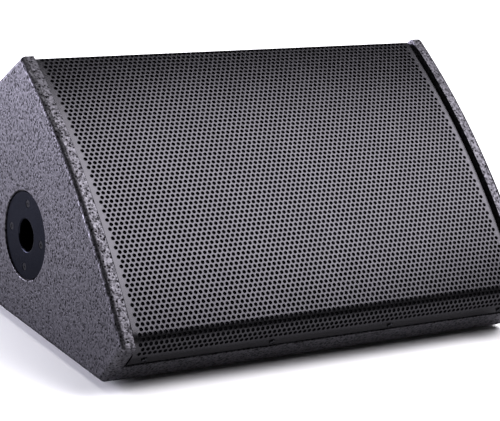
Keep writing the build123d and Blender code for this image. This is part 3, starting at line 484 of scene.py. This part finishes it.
class Skin:
    """Side view of the grille's outer face, by distance from the free edge of its lip."""

    STEP = 0.25

    def __init__(self):
        centre = Vector(arc_centre(NOSE, RIDGE, FRONT_RADIUS))
        bevel, fall = radians(BEVEL_ANGLE), radians(TOP_FALL)
        radius = FRONT_RADIUS - GRILLE_RECESS
        up_lip = Vector((-cos(bevel), sin(bevel)))
        lip_in = Vector((sin(bevel), cos(bevel)))
        up_flange = Vector((-cos(fall), sin(fall)))
        flange_in = Vector((-sin(fall), -cos(fall)))
        nose, ridge = NOSE_BEND_RADIUS, RIDGE_BEND_RADIUS
        low_bend = self.bend_centre(Vector((0, 0)), up_lip, lip_in, centre, radius, nose)
        high_bend = self.bend_centre(Vector(RIDGE), up_flange, flange_in, centre, radius, ridge)
        lip_edge = up_lip * LIP_START + lip_in * LIP_RECESS
        flange_edge = Vector(RIDGE) - up_flange * FLANGE_LENGTH + flange_in * LIP_RECESS
        self.points, self.normals = [], []
        self.add_line(lip_edge, low_bend - lip_in * nose, -lip_in)
        self.add_arc(low_bend, nose, -lip_in, (low_bend - centre).normalized())
        toward_low, toward_high = (low_bend - centre).normalized(), (high_bend - centre).normalized()
        self.add_arc(centre, radius, toward_low, toward_high)
        self.add_arc(high_bend, ridge, toward_high, -flange_in)
        self.add_line(high_bend - flange_in * ridge, flange_edge, -flange_in)
        self.points = np.array(self.points)
        self.normals = np.array(self.normals)
        steps = np.hypot(*np.diff(self.points, axis=0).T)
        self.distance = np.concatenate([[0], np.cumsum(steps)])
        self.length = self.distance[-1]

    @staticmethod
    def bend_centre(point, along, inward, centre, radius, bend):
        """Middle of the bend that touches both a straight flange and the curved front."""
        base = point + inward * (LIP_RECESS + bend)
        to_centre = centre - base
        middle = to_centre.dot(along)
        side = (to_centre - along * middle).length
        reach = ((radius - bend) ** 2 - side**2) ** 0.5
        near = min((middle - reach, middle + reach), key=abs)
        return base + along * near

    def add_line(self, start, end, normal):
        count = int((end - start).length / self.STEP) + 1
        for i in range(count):
            self.points.append(start.lerp(end, i / count))
            self.normals.append(normal)

    def add_arc(self, centre, radius, start, end):
        turn = start.angle_signed(end)
        count = int(abs(turn) * radius / self.STEP) + 1
        for i in range(count):
            direction = start.copy()
            direction.rotate(Matrix.Rotation(-turn * i / count, 2))
            self.points.append(centre + direction * radius)
            self.normals.append(direction)

    def at(self, distance, depth=0.0):
        """Cabinet y and z, depth behind the outer face."""
        inside = np.clip(distance, 0, self.length)
        y, z = (np.interp(inside, self.distance, self.points[:, k]) for k in (0, 1))
        ny, nz = (np.interp(inside, self.distance, self.normals[:, k]) for k in (0, 1))
        return y - ny * depth, z - nz * depth

    def place(self, across, distance, depth=0.0):
        """Points in the frame, from positions across the sheet and along it."""
        y, z = self.at(np.asarray(distance, float), depth)
        points = np.column_stack([np.asarray(across, float), y, z]) * MM
        return points + np.array(TO_FRAME)


def thicken(flat_faces, front, back):
    """Closed sheet from faces on its front: the same faces behind, and a wall at every edge."""
    count = len(front)
    edges = {(a, b) for face in flat_faces for a, b in zip(face, face[1:] + face[:1])}
    rims = [(a, b) for a, b in edges if (b, a) not in edges]
    behind = [tuple(count + i for i in reversed(face)) for face in flat_faces]
    walls = [(b, a, count + a, count + b) for a, b in sorted(rims)]
    return np.vstack([front, back]), flat_faces + behind + walls


def grid(first, second):
    """Every pair of two rows of positions, and the faces between them."""
    wide = len(first)
    across, along = np.meshgrid(first, second)
    faces = [
        (r * wide + c, r * wide + c + 1, (r + 1) * wide + c + 1, (r + 1) * wide + c)
        for r in range(len(second) - 1)
        for c in range(wide - 1)
    ]
    return across.ravel(), along.ravel(), faces


def lumps_over(across, along, size):
    """Smooth unevenness, about -1 to 1, with lumps about size millimetres across."""
    return np.array([noise.noise(Vector((x, s, 0)) / size) for x, s in zip(across, along)])


def lathe(profile, angles):
    """A closed (radius, height) profile turned about Z through a row of angles, ends capped."""
    count = len(profile)
    points = [(r * cos(a), r * sin(a), z) for a in angles for r, z in profile]
    faces = []
    for j in range(len(angles) - 1):
        here, there = j * count, (j + 1) * count
        for i in range(count):
            after = (i + 1) % count
            faces.append((here + i, there + i, there + after, here + after))
    faces.append(tuple(range(count)))
    faces.append(tuple(reversed(range(len(points) - count, len(points)))))
    return points, faces


def in_frame(point):
    """A point of the cabinet's drawing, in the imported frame."""
    return TO_FRAME + Vector(point) * MM


# ---------------------------------------------------------------- grille
def perforated_faces(skin):
    """Flat positions (across, along) and faces of the sheet, with a real hole in every cell."""
    index, spots, faces = {}, [], []

    def spot(across, along):
        key = (round(across, 3), round(along, 3))
        if key not in index:
            index[key] = len(spots)
            spots.append(key)
        return index[key]

    half = HOLE_PITCH / 2
    edge = GRILLE_WIDTH / 2
    per_quarter = HOLE_SIDES // 4

    def row_start(row):
        shift = -ROW_SHIFT if row % 2 == 0 else ROW_SHIFT
        return (shift - HOLES_PER_ROW / 2) * HOLE_PITCH

    def extra(row, other, along, side):
        """Corner of the neighbouring row that lies on this row's margin."""
        if not 0 <= other < ROWS:
            return []
        here, there = row_start(row), row_start(other)
        if side > 0:
            here, there = here + HOLES_PER_ROW * HOLE_PITCH, there + HOLES_PER_ROW * HOLE_PITCH
        return [spot(there, along)] if (there - here) * side > 0 else []

    for row in range(ROWS):
        middle = FIRST_ROW + row * ROW_SPACING
        low, high = middle - ROW_SPACING / 2, middle + ROW_SPACING / 2
        start = row_start(row)
        for i in range(HOLES_PER_ROW):
            x = start + (i + 0.5) * HOLE_PITCH
            outer = [
                spot(x + half, middle),
                spot(x + half, high),
                spot(x, high),
                spot(x - half, high),
                spot(x - half, middle),
                spot(x - half, low),
                spot(x, low),
                spot(x + half, low),
            ]
            turns = [2 * pi * k / HOLE_SIDES for k in range(HOLE_SIDES)]
            rim = [spot(x + HOLE_R * cos(t), middle + HOLE_R * sin(t)) for t in turns]
            for quarter in range(4):
                a, corner, b = (outer[(2 * quarter + k) % 8] for k in range(3))
                arc = [rim[(per_quarter * quarter + k) % HOLE_SIDES] for k in range(per_quarter + 1)]
                faces.append((a, corner, arc[1], arc[0]))
                faces.append((corner, arc[2], arc[1]))
                faces.append((corner, b, arc[3], arc[2]))
        end = start + HOLES_PER_ROW * HOLE_PITCH
        left_low, left_high = extra(row, row - 1, low, -1), extra(row, row + 1, high, -1)
        right_low, right_high = extra(row, row - 1, low, 1), extra(row, row + 1, high, 1)
        faces.append(
            (spot(-edge, low), *left_low, spot(start, low), spot(start, middle),
             spot(start, high), *left_high, spot(-edge, high))
        )
        faces.append(
            (spot(edge, high), *right_high, spot(end, high), spot(end, middle),
             spot(end, low), *right_low, spot(edge, low))
        )

    first, last = FIRST_ROW - ROW_SPACING / 2, FIRST_ROW + (ROWS - 0.5) * ROW_SPACING
    for along, side in ((first, -1), (last, 1)):
        key = round(along, 3)
        line = sorted(i for i, s in enumerate(spots) if s[1] == key)
        line.sort(key=lambda i: spots[i][0])
        stop = 0.0 if side < 0 else skin.length
        levels = np.linspace(along, stop, FLAT_LEVELS)[1:]
        corners = [(spot(-edge, level), spot(edge, level)) for level in levels]
        strip = [corners[0][0], corners[0][1], *reversed(line)]
        faces.append(tuple(strip if side < 0 else reversed(strip)))
        for (a, b), (c, d) in zip(corners, corners[1:]):
            faces.append((a, c, d, b)[:: -1 if side > 0 else 1])
    return np.array(spots), faces


def build_grille(skin):
    spots, faces = perforated_faces(skin)
    front = skin.place(spots[:, 0], spots[:, 1])
    back = skin.place(spots[:, 0], spots[:, 1], SHEET)
    points, faces = thicken(faces, front, back)
    made = piece("grille_sheet", points, faces, "grille_steel")
    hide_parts("grille")


def build_foam(skin):
    """Open-cell foam glued behind the grille: full over the baffle, squeezed flat over the rails."""
    half = GRILLE_WIDTH / 2 - FOAM_MARGIN
    across, along, faces = grid(
        np.linspace(-half, half, int(2 * half / FOAM_CELL)),
        np.linspace(FOAM_START, skin.length - FOAM_START, int(skin.length / FOAM_CELL)),
    )
    slope = radians(BAFFLE_SLOPE)
    y, z = skin.at(along)
    reach = np.abs((y - BAFFLE_ORIGIN[0]) * cos(slope) + (z - BAFFLE_ORIGIN[1]) * sin(slope))
    free = np.clip((BAFFLE_HALF - FOAM_MARGIN - reach) / FOAM_TAPER, 0, 1)
    lumps = lumps_over(across, along, FOAM_LUMP_SIZE)
    top = SHEET + FOAM_GAP
    front = skin.place(across, along, top + free * FOAM_LUMP * (1 + lumps))
    back = skin.place(across, along, top + FOAM_FLAT + free * (FOAM - FOAM_FLAT))
    points, faces = thicken(faces, front, back)
    made = piece("foam_sheet", points, faces, "acoustic_foam", crease=SOFT_CREASE)
    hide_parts("grille_foam")


# ---------------------------------------------------------------- woofer
def on_woofer(point):
    """A point on the woofer's own axes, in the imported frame."""
    x, y, z = point
    slope = radians(BAFFLE_SLOPE)
    return in_frame(
        (
            WOOFER_X + x,
            BAFFLE_ORIGIN[0] + y * cos(slope) - z * sin(slope),
            BAFFLE_ORIGIN[1] + y * sin(slope) + z * cos(slope),
        )
    )


def with_skin(line):
    """Closed profile of a thin sheet whose upper side is line."""
    return [(radius, height - SKIN) for radius, height in line] + line[::-1]


def surround_line():
    roll = [pi - pi * i / ROLL_STEPS for i in range(ROLL_STEPS + 1)]
    arc = [(ROLL_MIDDLE + ROLL_R * cos(a), SKIN + ROLL_R * sin(a)) for a in roll]
    return [*arc, (ROLL_END, SKIN)]


def spider_line():
    steps = SPIDER_CRESTS * CREST_STEPS
    reach = SPIDER_END - SPIDER_START
    swing = [sin(2 * pi * SPIDER_CRESTS * i / steps) for i in range(steps + 1)]
    return [
        (SPIDER_START + reach * i / steps, SPIDER_HEIGHT + SPIDER_WAVE / 2 * (1 + swing[i]))
        for i in range(steps + 1)
    ]


def build_flexible_ring(name, line, slot, node):
    """A ring in sectors, between the moving cone and the fixed frame."""
    for k in range(SECTORS):
        angles = [2 * pi * (k + j / SECTOR_STEPS) / SECTORS for j in range(SECTOR_STEPS + 1)]
        points, faces = lathe(with_skin(line), angles)
        made = new_mesh(f"{name}_{k}", [on_woofer(point) for point in points], faces, slot)
        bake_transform(made)
        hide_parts(node)


# ---------------------------------------------------------------- handle grip and wadding
def build_grip():
    """Rubber sleeve with shallow grooves between rounded ribs."""
    half = GRIP_LENGTH / 2
    ribbed = GRIP_LENGTH - 2 * GRIP_END
    steps = int(ribbed / GRIP_RIB) * RIB_STEPS
    end = [(GRIP_R - GRIP_ROUND, half), (GRIP_R - GRIP_BEVEL, half - GRIP_BEVEL), (GRIP_R, half - GRIP_ROUND)]
    outside = [(radius, -height) for radius, height in end]
    for i in range(steps + 1):
        groove = max(0, cos(2 * pi * i / RIB_STEPS)) ** 2 * GRIP_GROOVE
        outside.append((GRIP_R - groove, ribbed * (i / steps - 0.5)))
    profile = [*outside, *reversed(end), (GRIP_BORE_R, half), (GRIP_BORE_R, -half)]
    points, faces = lathe(profile, [2 * pi * j / GRIP_SIDES for j in range(GRIP_SIDES + 1)])
    along_y = [in_frame((GRIP_AT[0] + x, GRIP_AT[1] - z, GRIP_AT[2] + y)) for x, y, z in points]
    made = piece("ribbed_grip", along_y, faces[:-2], "grip_rubber")
    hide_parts("handle_grip")


def build_wadding():
    """A mat of loose fibre under the top panel, thinner at its torn edges."""
    half = WADDING_WIDTH / 2
    across, along, faces = grid(
        np.linspace(-half, half, int(2 * half / WADDING_CELL)),
        np.linspace(WADDING_START, WADDING_END, int((WADDING_END - WADDING_START) / WADDING_CELL)),
    )
    from_end = np.minimum(along - WADDING_START, WADDING_END - along)
    from_edge = np.minimum(half - np.abs(across), from_end)
    full = WADDING_THIN + (1 - WADDING_THIN) * np.clip(from_edge / WADDING_EDGE, 0, 1) ** 0.5
    lumps = lumps_over(across, along, WADDING_LUMP_SIZE)
    swell = 1 - WADDING_LUMP + WADDING_LUMP * np.clip(lumps * 2, -1, 1)
    depth = (WADDING_DEEP - WADDING_SPARE) * full * swell
    fall = radians(TOP_FALL)

    def under_top(below):
        """Points below the top panel's outer face."""
        y = RIDGE[0] + along * cos(fall) - below * sin(fall)
        z = RIDGE[1] - along * sin(fall) - below * cos(fall)
        return np.column_stack([across, y, z]) * MM + np.array(TO_FRAME)

    points, faces = thicken(faces, under_top(WADDING_TOP + WADDING_GAP), under_top(WADDING_TOP + depth))
    made = piece("wadding_mat", points, faces, "wadding_fibre", crease=SOFT_CREASE)
    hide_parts("wadding")


# ---------------------------------------------------------------- stage
def build_floor():
    mesh = bpy.data.meshes.new("floor")
    far = FLOOR_HALF
    corners = [(-far, -far, 0), (far, -far, 0), (far, far, 0), (-far, far, 0)]
    mesh.from_pydata(corners, [], [(0, 1, 2, 3)])
    finish = Finish("floor_paint", 0.9)
    tone = finish.noise(400.0)
    finish.colour(finish.blend(tone, (0.88, 0.88, 0.88), (0.92, 0.92, 0.92)))
    mesh.materials.append(finish.material)
    floor = bpy.data.objects.new("floor", mesh)
    scene.collection.objects.link(floor)


def area_light(name, at, aim, width, height, power, colour):
    light = bpy.data.lights.new(name, "AREA")
    light.shape = "RECTANGLE"
    light.size = width
    light.size_y = height
    light.energy = power
    light.color = colour
    lamp = bpy.data.objects.new(name, light)
    lamp.location = at
    lamp.rotation_mode = "QUATERNION"
    lamp.rotation_quaternion = (Vector(aim) - Vector(at)).to_track_quat("-Z", "Y")
    scene.collection.objects.link(lamp)


def build_world(strength):
    world = bpy.data.worlds.new("studio")
    world.use_nodes = True
    background = world.node_tree.nodes["Background"]
    background.inputs["Color"].default_value = (1.0, 1.0, 1.0, 1.0)
    background.inputs["Strength"].default_value = strength
    scene.world = world


def build_camera():
    data = bpy.data.cameras.new("camera")
    data.lens = CAMERA_LENS
    data.sensor_width = CAMERA_SENSOR
    camera = bpy.data.objects.new("camera", data)
    aim = Vector(CAMERA_AIM) - Vector(CAMERA_AT)
    roll = Quaternion((0, 0, 1), radians(CAMERA_ROLL))
    camera.location = CAMERA_AT
    camera.rotation_mode = "QUATERNION"
    camera.rotation_quaternion = aim.to_track_quat("-Z", "Y") @ roll
    scene.collection.objects.link(camera)
    scene.camera = camera


build_camera()
build_floor()
build_world(WORLD_STRENGTH)
for light in LIGHTS:
    area_light(*light)
scene.view_settings.view_transform = "Standard"

grille_skin = Skin()
build_grille(grille_skin)
build_foam(grille_skin)
build_flexible_ring("surround", surround_line(), "surround_cloth", "woofer_surround")
build_flexible_ring("spider", spider_line(), "spider_cloth", "woofer_spider")
build_grip()
build_wadding()
